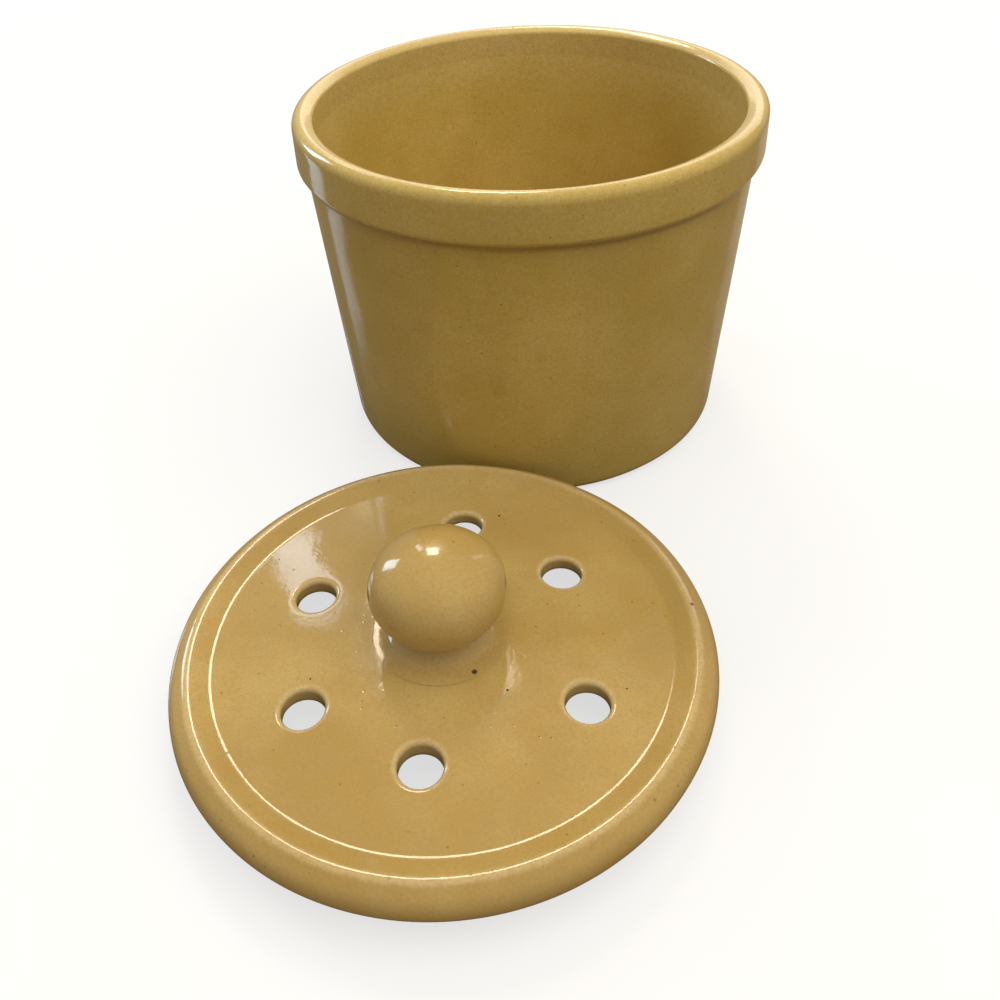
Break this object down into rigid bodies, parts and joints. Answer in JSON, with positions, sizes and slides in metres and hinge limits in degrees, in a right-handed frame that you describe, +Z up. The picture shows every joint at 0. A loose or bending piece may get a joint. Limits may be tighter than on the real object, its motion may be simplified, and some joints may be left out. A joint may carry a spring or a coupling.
{
  "type": "garlic keeper",
  "caption": "Tapered glazed stoneware crock with a banded rim, and its vented flanged lid with a ball knob lying beside it.",
  "frame": {"origin": "middle of the crock's flat base, on the surface that the crock and the lid stand on", "axes": "+Z up along the crock's axis; the lid lies off towards -Y and slightly -X, nearest the camera of the picture"},
  "size_m": [0.1451, 0.2393, 0.0944],
  "materials": {
    "crock_glaze": "glossy",
    "lid_glaze": "glossy",
    "knob_glaze": "glossy"
  },
  "bodies": {
    "crock": {"crock": "crock_glaze"},
    "lid": {"lid": "lid_glaze", "lid_knob": "knob_glaze"}
  },
  "joints": [
    {"name": "lid_lift", "type": "slide", "parent": "crock", "child": "lid", "axis": [-0.0467, -0.2546, 0.9659], "range_m": [0, 0.12]}
  ]
}
